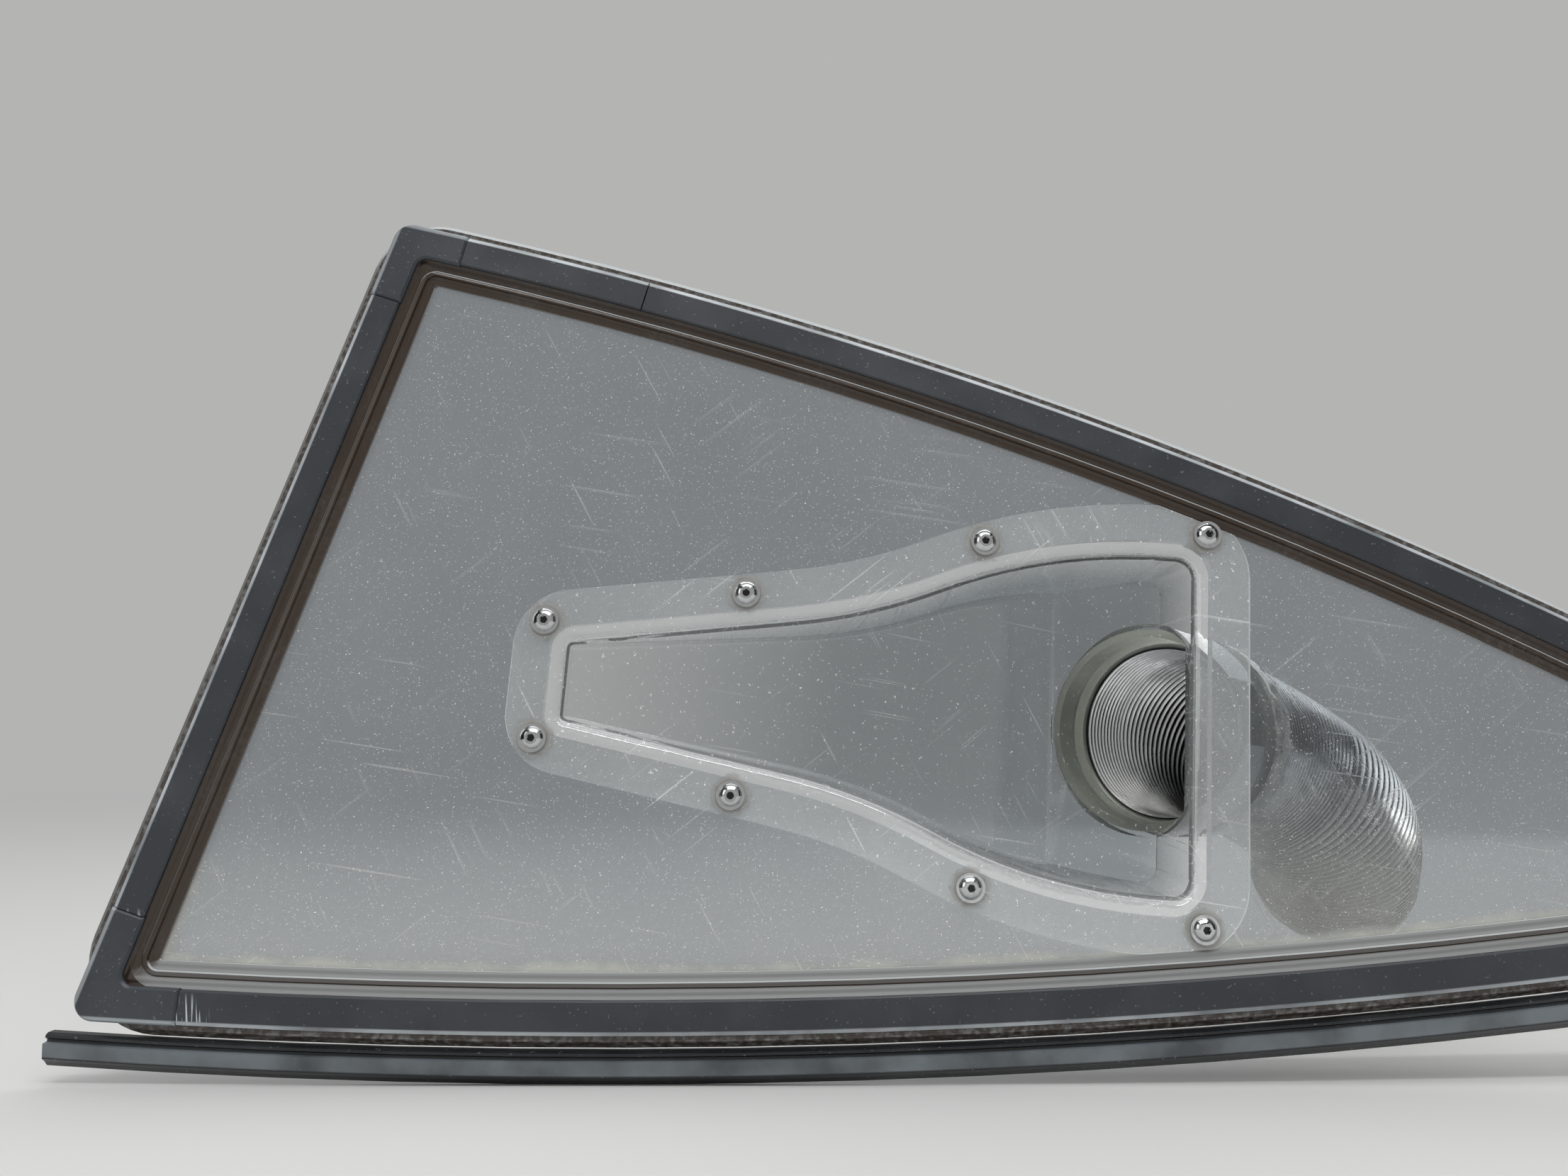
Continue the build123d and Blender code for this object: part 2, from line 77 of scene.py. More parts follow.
Tree = bpy.types.NodeTree
Source = bpy.types.Node | bpy.types.NodeSocket
Triple = tuple[float, float, float]
Spots = tuple[tuple[float, float], ...]


class Slot(Enum):
    """The record's material slots for the scene's own pieces; the script does not read them."""

    HOSE = "hose_metal"
    JOINT = "joint_sealant"


def linear(code: str) -> tuple[float, float, float, float]:
    """Turn an sRGB hex colour into linear RGBA.

    Args:
        code: The colour as #rrggbb.

    Returns:
        The linear colour with full alpha.
    """
    parts = [int(code[i : i + 2], 16) / 255 for i in (1, 3, 5)]
    red, green, blue = (
        part / 12.92 if part <= 0.04045 else ((part + 0.055) / 1.055) ** 2.4 for part in parts
    )
    return red, green, blue, 1.0


def add(
    tree: Tree, kind: str, inputs: dict[str, Any] | Sequence[Any] = (), **settings: Any
) -> bpy.types.Node:
    """Add a node with its settings, values and links.

    Args:
        tree: The node tree.
        kind: The node's type name, without the ShaderNode that it starts with.
        inputs: Values, sockets or nodes, by the inputs' names or in the order of the inputs in
            use. A node stands for the first of its outputs in use.
        settings: The node's own properties.

    Returns:
        The new node.
    """
    node = tree.nodes.new("ShaderNode" + kind)
    for name, value in settings.items():
        setattr(node, name, value)
    if isinstance(inputs, dict):
        pairs = [(node.inputs[name], value) for name, value in inputs.items()]
    else:
        pairs = list(zip([socket for socket in node.inputs if socket.enabled], inputs))
    for socket, value in pairs:
        if isinstance(value, bpy.types.Node):
            value = next(output for output in value.outputs if output.enabled)
        if isinstance(value, bpy.types.NodeSocket):
            tree.links.new(value, socket)
        else:
            socket.default_value = value
    return node


@dataclass(frozen=True)
class Outline:
    """The daylight opening, from which patterns on the frame measure their outset."""

    # The corners' X and Z, and the radii of the two bowed edges
    foot: tuple[float, float] = (-335.4, -140.2)
    crown: tuple[float, float] = (-240.4, 146.3)
    tip: tuple[float, float] = (374.5, -103.0)
    top_bow: float = 2180.0
    bottom_bow: float = 3360.0

    def centre(self, start: tuple[float, float], end: tuple[float, float], bow: float) -> Vector:
        """Find the centre of a bowed edge.

        Args:
            start: The edge's first end.
            end: Its other end, with the bulge to the left of the way there.
            bow: The bow's radius.

        Returns:
            The centre.
        """
        first, last = Vector(start), Vector(end)
        chord = last - first
        inwards = Vector((chord.y, -chord.x)).normalized()
        return (first + last) / 2 + inwards * math.sqrt(bow**2 - (chord.length / 2) ** 2)

    def outset(self, tree: Tree, place: Source) -> Source:
        """Measure how far a point lies outside the daylight edge.

        Args:
            tree: The node tree.
            place: Object coordinates, in metres.

        Returns:
            The outset in millimetres.
        """
        flat = add(tree, "VectorMath", [place, (1, 0, 1)], operation="MULTIPLY")
        fields = []
        bows = [(self.crown, self.tip, self.top_bow), (self.tip, self.foot, self.bottom_bow)]
        for start, end, bow in bows:
            middle = self.centre(start, end, bow) * MM
            reach = add(tree, "VectorMath", [flat, (middle.x, 0, middle.y)], operation="DISTANCE")
            fields.append(add(tree, "Math", [reach, 1 / MM, -bow], operation="MULTIPLY_ADD"))
        edge = (Vector(self.crown) - Vector(self.foot)).normalized()
        normal = Vector((-edge.y, edge.x))
        across = add(tree, "VectorMath", [place, (normal.x, 0, normal.y)], operation="DOT_PRODUCT")
        start = -normal.dot(Vector(self.foot))
        fields.append(add(tree, "Math", [across, 1 / MM, start], operation="MULTIPLY_ADD"))
        joined = fields[0]
        for other in fields[1:]:
            joined = add(tree, "Math", [joined, other], operation="MAXIMUM")
        return joined


def band(tree: Tree, value: Source, low: float, high: float, soft: float) -> Source:
    """Give 1 where a value lies between two limits, with soft ends.

    Args:
        tree: The node tree.
        value: The value to test.
        low: The lower limit.
        high: The upper limit.
        soft: The width of each end's slope.

    Returns:
        A mask from 0 to 1.
    """
    rise = add(tree, "MapRange", [value, low - soft, low + soft])
    fall = add(tree, "MapRange", [value, high + soft, high - soft])
    return add(tree, "Math", [rise, fall], operation="MULTIPLY")


def specks(tree: Tree, place: Source, size: float, share: float) -> Source:
    """Scatter small specks of dust.

    Args:
        tree: The node tree.
        place: Object coordinates, in metres.
        size: The speck's size in millimetres.
        share: How much of the surface they cover, about 0 to 0.5.

    Returns:
        A mask from 0 to 1.
    """
    grain = add(tree, "TexNoise", {"Vector": place, "Scale": 0.5 / (size * MM), "Detail": 1.0})
    low = 0.72 - 0.4 * share
    return add(tree, "MapRange", [grain, low, low + 0.05])


def scratches(
    tree: Tree, place: Source, angle: float, width: float, length: float, share: float
) -> Source:
    """Draw fine straight scratches in one direction on an upright sheet.

    Args:
        tree: The node tree.
        place: Object coordinates, in metres.
        angle: The direction in degrees above the X axis.
        width: A scratch's width in millimetres.
        length: A scratch's length in millimetres.
        share: How many there are, about 0 to 1.

    Returns:
        A mask from 0 to 1.
    """
    turn, size = (0, math.radians(angle), 0), (length * MM, 1.0, width * MM)
    sheet = {"Vector": place, "Rotation": turn, "Scale": size}
    turned = add(tree, "Mapping", sheet, vector_type="TEXTURE")
    streaks = add(tree, "TexNoise", {"Vector": turned, "Scale": 0.5, "Detail": 0.0})
    low = 0.8 - 0.12 * share
    return add(tree, "MapRange", [streaks, low, low + 0.06])


def nearest(tree: Tree, place: Source, spots: Spots) -> Source:
    """Measure how far a point is from the nearest of some spots, seen square to the window.

    Args:
        tree: The node tree.
        place: Object coordinates, in metres.
        spots: The spots' X and Z, in millimetres.

    Returns:
        The distance in metres, with the depth left out.
    """
    flat = add(tree, "VectorMath", [place, (1, 0, 1)], operation="MULTIPLY")
    least = None
    for x, z in spots:
        away = add(tree, "VectorMath", [flat, (x * MM, 0, z * MM)], operation="DISTANCE")
        least = away if least is None else add(tree, "Math", [least, away], operation="MINIMUM")
    return least


@dataclass(frozen=True)
class Finish:
    """A finish: one real material, made by one real process."""

    name: str

    def build(self) -> bpy.types.Material:
        """Build the material.

        Returns:
            The material, with the finish's nodes.
        """
        material = bpy.data.materials.new(self.name)
        material.use_nodes = True
        tree = material.node_tree
        tree.nodes.clear()
        place = add(tree, "TexCoord").outputs["Object"]
        add(tree, "OutputMaterial", {"Surface": self.shade(tree, place)})
        return material

    def shade(self, tree: Tree, place: Source) -> Source:
        """Add the finish's nodes to the tree and return its shader."""
        raise NotImplementedError


@dataclass(frozen=True)
class ClearPlastic(Finish):
    """Clear plastic sheet, old and hazy: it lets light through and carries dust and scratches."""

    tint: str
    dust: str
    ior: float = 1.585
    gloss: float = 0.0
    haze: float = 0.02
    # A thin veil of dust in cloudy patches, and a film that thickens towards the foot
    patch: float = 110.0
    veil: float = 0.05
    film: float = 0.0
    film_high: float = -40.0
    film_low: float = -150.0
    # Dried residue at the foot, with the noise that makes its edge ragged
    residue: float = 0.0
    residue_lump: float = 22.22
    residue_throw: float = 11.0
    # Painted shade deeper in the moulding, a painted sky sheen on its face, and a white routed edge
    deep_shade_tint: str = ""
    deepest: float = 42.0
    face_sky_sheen: float = 0.0
    sheen_to: float = 5.0
    cut_frost_and_highlight: float = 0.0
    cut_low: float = 0.0
    cut_high: float = 0.0
    # Specks and scratches are drawn as coarse as they need to show; each direction of
    # scratches has its angle, width and length
    mark: str = "#f3f3ef"
    speck_share: float = 0.12
    speck_size: float = 0.7
    speck_cover: float = 0.5
    scratch_share: float = 0.6
    scratch_cover: float = 0.18
    scratch_depth: float = 0.22
    scratch_runs: tuple[Triple, ...] = ((9.0, 0.5, 34.0), (-38.0, 0.45, 30.0), (62.0, 0.45, 18.0))
    # Brown grime round the screws, with painted shadow at the heads' edges
    grime_and_shade: str = "#5a4a30"
    stain_and_shadow_cover: float = 0.7
    stain_and_shadow_grain: float = 3.846
    stain_and_shadow_places: Spots = ()
    # The share of a shadow ray, and on a flat sheet of a mirrored ray, that goes straight through
    passed: float = 0.96
    lets_mirrored: bool = False
    outline: Outline = Outline()

    def shade(self, tree: Tree, place: Source) -> Source:
        """Add the sheet's nodes.

        Args:
            tree: The node tree.
            place: Object coordinates, in metres.

        Returns:
            The shader, which lets most of a shadow or mirrored ray through.
        """
        size = 1 / (self.patch * MM)
        cloud = add(tree, "TexNoise", {"Vector": place, "Scale": size, "Detail": 4.0, "Roughness": 0.6})
        parts = add(tree, "SeparateXYZ", [place]).outputs
        depth, height = parts["Y"], parts["Z"]
        low = add(tree, "MapRange", [height, self.film_high * MM, self.film_low * MM, 0.0, self.film])
        veil = add(tree, "MapRange", [cloud, 0.35, 0.7, 0.0, self.veil])
        mask = add(tree, "Math", [low, veil], operation="ADD")
        # A pale band near the face: a painted sky reflection
        if self.face_sky_sheen:
            face = add(tree, "MapRange", [depth, -1.2 * MM, self.sheen_to * MM, self.face_sky_sheen, 0.0])
            mask = add(tree, "Math", [mask, face], operation="ADD")
        # White on sideways faces at the flange's depth: frost on the routed edge, a painted highlight
        # on the mouth's wall
        if self.cut_frost_and_highlight:
            mask = self.frost_and_highlight(tree, depth, mask)
        spots = specks(tree, place, self.speck_size, self.speck_share)
        mask = add(tree, "Math", [spots, self.speck_cover, mask], operation="MULTIPLY_ADD")
        if self.residue:
            mask = self.leave(tree, place, height, mask)
        lines = None
        for angle, width, length in self.scratch_runs:
            drawn = scratches(tree, place, angle, width, length, self.scratch_share)
            lines = drawn if lines is None else add(tree, "Math", [lines, drawn], operation="MAXIMUM")
        cover = [lines, self.scratch_cover, mask]
        mask = add(tree, "Math", cover, operation="MULTIPLY_ADD", use_clamp=True)
        tint: Any = linear(self.tint)
        # Darker further in: painted shade
        if self.deep_shade_tint:
            deep = add(tree, "MapRange", [depth, 2 * MM, self.deepest * MM])
            tint = add(tree, "Mix", [deep, linear(self.tint), linear(self.deep_shade_tint)], data_type="RGBA")
        colour = add(tree, "Mix", [mask, tint, linear(self.dust)], data_type="RGBA")
        faint = add(tree, "Math", [lines, self.scratch_depth], operation="MULTIPLY")
        marks = add(tree, "Math", [spots, faint], operation="MAXIMUM")
        colour = add(tree, "Mix", [marks, colour, linear(self.mark)], data_type="RGBA")
        if self.stain_and_shadow_places:
            colour, mask = self.stain_and_shade_screws(tree, place, colour, mask)
        clear = add(tree, "Math", [1.0, mask], operation="SUBTRACT", use_clamp=True)
        rough = add(tree, "MapRange", [cloud, 0.3, 0.75, self.gloss, self.gloss + self.haze])
        bump = add(tree, "Bump", {"Strength": 0.08, "Distance": 0.3 * MM, "Height": lines})
        surface = {"Base Color": colour, "Roughness": rough, "IOR": self.ior, "Normal": bump}
        plastic = add(tree, "BsdfPrincipled", surface | {"Transmission Weight": clear})
        path = add(tree, "LightPath").outputs
        passing = path["Is Shadow Ray"]
        if self.lets_mirrored:
            passing = add(tree, "Math", [passing, path["Is Reflection Ray"]], operation="MAXIMUM")
        through = add(tree, "Math", [passing, self.passed], operation="MULTIPLY")
        return add(tree, "MixShader", [through, plastic, add(tree, "BsdfTransparent")])

    def frost_and_highlight(self, tree: Tree, depth: Source, mask: Source) -> Source:
        """Frost the cut edge, which the router leaves white, and paint a highlight on the mouth's wall
        there.

        Args:
            tree: The node tree.
            depth: The Y part of the Object coordinates, in metres.
            mask: How opaque the sheet is so far.

        Returns:
            The new mask.
        """
        facing = add(tree, "NewGeometry").outputs["Normal"]
        inboard = add(tree, "SeparateXYZ", [facing]).outputs["Y"]
        tilt = add(tree, "Math", [inboard], operation="ABSOLUTE")
        side = add(tree, "MapRange", [tilt, 0.85, 0.45, 0.0, self.cut_frost_and_highlight])
        near = band(tree, depth, self.cut_low * MM, self.cut_high * MM, 0.2 * MM)
        edge = add(tree, "Math", [side, near], operation="MULTIPLY")
        return add(tree, "Math", [edge, mask], operation="MAXIMUM")

    def leave(self, tree: Tree, place: Source, height: Source, mask: Source) -> Source:
        """Leave dried residue along the window's bottom edge, ragged at its upper side.

        Args:
            tree: The node tree.
            place: Object coordinates, in metres.
            height: Their Z part.
            mask: How opaque the sheet is so far.

        Returns:
            The new mask.
        """
        outset = self.outline.outset(tree, place)
        lumps = {"Vector": place, "Scale": 1 / (self.residue_lump * MM), "Detail": 8.0}
        ragged = add(tree, "TexNoise", lumps)
        edge = add(tree, "Math", [ragged, -self.residue_throw, outset], operation="MULTIPLY_ADD")
        line = add(tree, "MapRange", [edge, -11.5, -5.2, 0.0, self.residue])
        low = add(tree, "MapRange", [height, -90 * MM, -118 * MM])
        both = add(tree, "Math", [line, low], operation="MULTIPLY")
        return add(tree, "Math", [both, mask], operation="MAXIMUM")

    def stain_and_shade_screws(self, tree: Tree, place: Source, colour: Source, mask: Source) -> tuple[Source, Source]:
        """Lay a brown ring round each screw: a stain, and painted shadow at the head's edge.

        Args:
            tree: The node tree.
            place: Object coordinates, in metres.
            colour: The colour so far.
            mask: How opaque the sheet is so far.

        Returns:
            The new colour and the new mask.
        """
        away = nearest(tree, place, self.stain_and_shadow_places)
        grains = {"Vector": place, "Scale": 1 / (self.stain_and_shadow_grain * MM), "Detail": 3.0}
        ragged = add(tree, "TexNoise", grains)
        reach = add(tree, "Math", [ragged, -6.0 * MM, away], operation="MULTIPLY_ADD")
        ring = add(tree, "MapRange", [reach, 5.8 * MM, 2.6 * MM, 0.0, self.stain_and_shadow_cover])
        soiled = add(tree, "Mix", [ring, colour, linear(self.grime_and_shade)], data_type="RGBA")
        return soiled, add(tree, "Math", [mask, ring], operation="MAXIMUM")


@dataclass(frozen=True)
class ExtrudedRubber(Finish):
    """EPDM rubber, extruded: matt and dark, with die lines along it, and dust and a painted sky
    reflection on its upward ledges.
    """

    colour: str = "#35291f"
    dust: str = "#b4b8b9"
    # The spacing of the die lines, and the sizes of the dust's clumps and patches
    lines: float = 3.1
    grain: float = 2.381
    patch: float = 38.46
    film: float = 0.08
    # Upward faces take dust and a painted sky reflection
    ledge_dust_and_sky: float = 0.9
    # The outer lip, measured outwards from the daylight edge, has a short pile
    lip_from: float = 23.4
    lip_to: float = 30.0
    pile_dust: float = 0.35
    outline: Outline = Outline()

    def shade(self, tree: Tree, place: Source) -> Source:
        """Add the rubber's nodes.

        Args:
            tree: The node tree.
            place: Object coordinates, in metres.

        Returns:
            The shader.
        """
        outset = self.outline.outset(tree, place)
        wave = add(tree, "Math", [outset, 2 * math.pi / self.lines], operation="MULTIPLY")
        ribs = add(tree, "Math", [wave], operation="SINE")
        grain, patches = (
            add(tree, "TexNoise", {"Vector": place, "Scale": 1 / (size * MM), "Detail": 3.0})
            for size in (self.grain, self.patch)
        )
        fuzz = band(tree, outset, self.lip_from, self.lip_to, 0.6)
        # Upward faces: dust and a painted sky reflection
        facing = add(tree, "NewGeometry").outputs["Normal"]
        upward = add(tree, "SeparateXYZ", [facing]).outputs["Z"]
        dust_and_sky_sheen = add(tree, "MapRange", [upward, 0.1, 0.5, 0.0, self.ledge_dust_and_sky])
        dusty = add(tree, "MapRange", [patches, 0.45, 0.8, 0.0, self.film])
        grains = add(tree, "MapRange", [grain, 0.45, 0.7, 0.15, 1.0])
        outer = add(tree, "Math", [fuzz, self.pile_dust, dusty], operation="MULTIPLY_ADD")
        cover = add(tree, "Math", [outer, grains], operation="MULTIPLY", use_clamp=True)
        cover = add(tree, "Math", [cover, dust_and_sky_sheen], operation="MAXIMUM")
        colour = add(tree, "Mix", [cover, linear(self.colour), linear(self.dust)], data_type="RGBA")
        rough = add(tree, "MapRange", [cover, 0.0, 0.6, 0.24, 0.7])
        pile = add(tree, "Math", [fuzz, grain], operation="MULTIPLY")
        fine = add(tree, "Math", [ribs, 0.6, pile], operation="MULTIPLY_ADD")
        bump = add(tree, "Bump", {"Strength": 0.6, "Distance": 0.6 * MM, "Height": fine})
        surface = {"Base Color": colour, "Roughness": rough, "IOR": 1.5, "Normal": bump}
        return add(tree, "BsdfPrincipled", surface)


@dataclass(frozen=True)
class PaintedStrip(Finish):
    """Satin black paint or coating: smooth and a little dusty, with a pale line along one edge, a
    painted highlight on trims and caps, and pale scuffs where given.
    """

    colour: str
    edge_highlight_and_scuffs: str = "#b9bfc3"
    dust: str = "#8d8f90"
    rough: float = 0.42
    # The film of dust in its patches, the paint's fine ripple, and the specks
    film: float = 0.08
    patch: float = 29.41
    grain: float = 1.111
    speck_cover: float = 0.4
    # The pale edge line, measured outwards from the daylight edge, and how strong it is; on trims and
    # caps it is a painted highlight
    edge_low: float = 21.4
    edge_high: float = 23.2
    edge: float = 0.95
    scuffed: Spots = ()
    scuff_reach: float = 9.0
    outline: Outline = Outline()

    def shade(self, tree: Tree, place: Source) -> Source:
        """Add the painted strip's nodes.

        Args:
            tree: The node tree.
            place: Object coordinates, in metres.

        Returns:
            The shader.
        """
        outset = self.outline.outset(tree, place)
        # A pale line along the outer edge; on trims and caps a painted highlight
        line = band(tree, outset, self.edge_low, self.edge_high, 0.3)
        size = 1 / (self.patch * MM)
        patches = add(tree, "TexNoise", {"Vector": place, "Scale": size, "Detail": 4.0})
        highlight_patches = add(tree, "MapRange", [patches, 0.3, 0.6, 0.35, self.edge])
        highlight_and_scuffs = add(tree, "Math", [line, highlight_patches], operation="MULTIPLY")
        if self.scuffed:
            reach = self.scuff_reach * MM
            near = add(tree, "MapRange", [nearest(tree, place, self.scuffed), reach, 0.4 * reach])
            marks = scratches(tree, place, angle=84.0, width=0.5, length=9.0, share=1.9)
            rubbed = add(tree, "Math", [near, marks], operation="MULTIPLY")
            highlight_and_scuffs = add(tree, "Math", [highlight_and_scuffs, rubbed], operation="MAXIMUM")
        spots = specks(tree, place, size=0.6, share=0.03)
        film = add(tree, "MapRange", [patches, 0.45, 0.8, 0.0, self.film])
        cover = add(tree, "Math", [spots, self.speck_cover, film], operation="MULTIPLY_ADD")
        dusty = add(tree, "Mix", [cover, linear(self.colour), linear(self.dust)], data_type="RGBA")
        colour = add(tree, "Mix", [highlight_and_scuffs, dusty, linear(self.edge_highlight_and_scuffs)], data_type="RGBA")
        size = 1 / (self.grain * MM)
        grain = add(tree, "TexNoise", {"Vector": place, "Scale": size, "Detail": 2.0})
        rough = add(tree, "MapRange", [patches, 0.3, 0.7, self.rough - 0.05, self.rough + 0.06])
        bump = add(tree, "Bump", {"Strength": 0.12, "Distance": 0.2 * MM, "Height": grain})
        surface = {"Base Color": colour, "Roughness": rough, "IOR": 1.5, "Normal": bump}
        return add(tree, "BsdfPrincipled", surface)


@dataclass(frozen=True)
class WornMetal(Finish):
    """Bright metal, plated, rolled or drawn: its sheen varies, grime sits in patches, and it may take
    painted shade and a painted reflection.
    """

    colour: str = "#c9cacb"
    grime_and_shade: str = "#4c4740"
    rough: float = 0.2
    soiled: float = 0.3
    patch: float = 6.0
    # The lower part is tinted warmer: a painted reflection of the ground below
    ground_reflection: str = ""
    reflection_share: float = 0.8
    reflection_low: float = -140.0
    reflection_high: float = -60.0
    # The attribute that says how deep a point lies in a groove, and the screws' sockets: both get
    # painted shade
    groove: str = ""
    groove_shade: float = 0.96
    socket_shade_spots: Spots = ()
    socket_reach: float = 1.6
    socket_shade: float = 0.95

    def shade(self, tree: Tree, place: Source) -> Source:
        """Add the metal's nodes.

        Args:
            tree: The node tree.
            place: Object coordinates, in metres.

        Returns:
            The shader.
        """
        size = 1 / (self.patch * MM)
        patches = add(tree, "TexNoise", {"Vector": place, "Scale": size, "Detail": 4.0})
        cover = add(tree, "MapRange", [patches, 0.48, 0.75, 0.0, self.soiled])
        # Grooves darkened by their depth: painted shade
        if self.groove:
            depth = add(tree, "Attribute", attribute_name=self.groove).outputs["Fac"]
            deep = add(tree, "MapRange", [depth, 0.12, 0.62, 0.0, self.groove_shade])
            cover = add(tree, "Math", [cover, deep], operation="MAXIMUM")
        # The sockets darkened: painted shade
        if self.socket_shade_spots:
            edge, away = self.socket_reach * MM, nearest(tree, place, self.socket_shade_spots)
            deep = add(tree, "MapRange", [away, edge, 0.9 * edge, 0.0, self.socket_shade])
            cover = add(tree, "Math", [cover, deep], operation="MAXIMUM")
        bright: Any = linear(self.colour)
        # A warmer lower part: painted reflection of the ground
        if self.ground_reflection:
            height = add(tree, "SeparateXYZ", [place]).outputs["Z"]
            ends = self.reflection_high * MM, self.reflection_low * MM
            low = add(tree, "MapRange", [height, *ends, 0.0, self.reflection_share])
            bright = add(tree, "Mix", [low, linear(self.colour), linear(self.ground_reflection)], data_type="RGBA")
        colour = add(tree, "Mix", [cover, bright, linear(self.grime_and_shade)], data_type="RGBA")
        rough = add(tree, "MapRange", [patches, 0.3, 0.7, self.rough - 0.05, self.rough + 0.15])
        surface = {"Base Color": colour, "Metallic": 1.0, "Roughness": rough}
        return add(tree, "BsdfPrincipled", surface)


@dataclass(frozen=True)
class StudioPaper(Finish):
    """Seamless background paper, matt and even."""

    colour: str = "#c9c9c8"
    # Real fibres are finer, and are drawn as coarse as they need to show
    fibre: float = 3.333

    def shade(self, tree: Tree, place: Source) -> Source:
        """Add the paper's nodes.

        Args:
            tree: The node tree.
            place: Object coordinates, in metres.

        Returns:
            The shader.
        """
        size = 1 / (self.fibre * MM)
        fibres = add(tree, "TexNoise", {"Vector": place, "Scale": size, "Detail": 2.0})
        bump = add(tree, "Bump", {"Strength": 0.05, "Distance": 0.3 * MM, "Height": fibres})
        surface = {"Roughness": 0.9, "Specular IOR Level": 0.1, "Normal": bump}
        return add(tree, "BsdfPrincipled", {"Base Color": linear(self.colour)} | surface)


def dress(node: str, material: bpy.types.Material) -> None:
    """Give a CAD node a material.

    Args:
        node: The node's name.
        material: The material.
    """
    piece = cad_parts[node]
    if not piece.material_slots:
        piece.data.materials.append(material)
    for place in piece.material_slots:
        place.material = material
    log.info("dressed %s in %s", node, material.name)


def fresh() -> None:
    """Deselect everything, so that an operator acts on the new piece alone."""
    bpy.ops.object.select_all(action="DESELECT")


def start_ring(sides: int, radius: float) -> bpy.types.Object:
    """Add a ring square to X at the origin, from which a tube is drawn out.

    Args:
        sides: The number of its sides.
        radius: Its radius.

    Returns:
        The ring, selected all over.
    """
    fresh()
    turn = (0, math.pi / 2, 0)
    bpy.ops.mesh.primitive_circle_add(vertices=sides, radius=radius * MM, rotation=turn)
    bpy.ops.object.transform_apply(location=True, rotation=True, scale=True)
    return bpy.context.object


def draw_out(steps: Sequence[tuple[float, float]]) -> None:
    """Extrude the selected ring of the active piece along X.

    Args:
        steps: Each step's length in metres and its change of radius.
    """
    bpy.ops.object.mode_set(mode="EDIT")
    for length, scale in steps:
        bpy.ops.mesh.extrude_region_move(TRANSFORM_OT_translate={"value": (length, 0, 0)})
        bpy.ops.transform.resize(value=(1, scale, scale))
    bpy.ops.object.mode_set(mode="OBJECT")


def modify(piece: bpy.types.Object, kind: str, **settings: Any) -> None:
    """Apply a modifier to the active piece.

    Args:
        piece: The piece.
        kind: The modifier's type.
        settings: The modifier's own properties.
    """
    modifier = piece.modifiers.new(kind, kind)
    for name, value in settings.items():
        setattr(modifier, name, value)
    bpy.ops.object.modifier_apply(modifier=modifier.name)


def settle(
    piece: bpy.types.Object, name: str, material: bpy.types.Material
) -> bpy.types.Object:
    """Name a finished piece, dress it and let it ride on the body.

    Args:
        piece: The piece, with its place in its mesh.
        name: Its name.
        material: Its material.

    Returns:
        The piece.
    """
    piece.name = piece.data.name = name
    piece.data.materials.clear()
    piece.data.materials.append(material)
    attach(piece, "root")
    log.info("made %s with %d faces", name, len(piece.data.polygons))
    return piece


@dataclass(frozen=True)
class DuctFrame:
    """The duct's own frame: along its axis, across it, and the round outlet at its rear."""

    # In degrees, the tilt of the mouth and the turn of the outlet; the rest are lengths
    tilt: float = 4.1
    ahead_of_tip: float = 285.2
    above_tip: float = 55.1
    mouth_length: float = 273.5
    outlet_ahead: float = 13.5
    outlet_depth: float = 42.0
    outlet_angle: float = 45.0
    pane_stand: float = 1.0
    outline: Outline = Outline()

    @property
    def along(self) -> Vector:
        """The direction along the duct."""
        turn = math.radians(self.tilt)
        return Vector((math.cos(turn), 0, -math.sin(turn)))

    @property
    def across(self) -> Vector:
        """The direction across the duct, upwards."""
        turn = math.radians(self.tilt)
        return Vector((math.sin(turn), 0, math.cos(turn)))

    @property
    def front(self) -> Vector:
        """The front end of the mouth, on the seat's plane."""
        turn = math.radians(self.tilt)
        x = self.outline.tip[0] - self.ahead_of_tip - self.mouth_length * math.cos(turn)
        z = self.outline.tip[1] + self.above_tip + self.mouth_length * math.sin(turn)
        return Vector((x, 0, z))

    @property
    def outlet_axis(self) -> Vector:
        """The direction in which the outlet points."""
        turn = math.radians(self.outlet_angle)
        return self.along * math.sin(turn) + Vector((0, 1, 0)) * math.cos(turn)

    @property
    def ring(self) -> Vector:
        """The centre of the outlet ring."""
        station = self.mouth_length - self.outlet_ahead
        inboard = self.outlet_depth - self.pane_stand
        return self.front + self.along * station + Vector((0, inboard, 0))


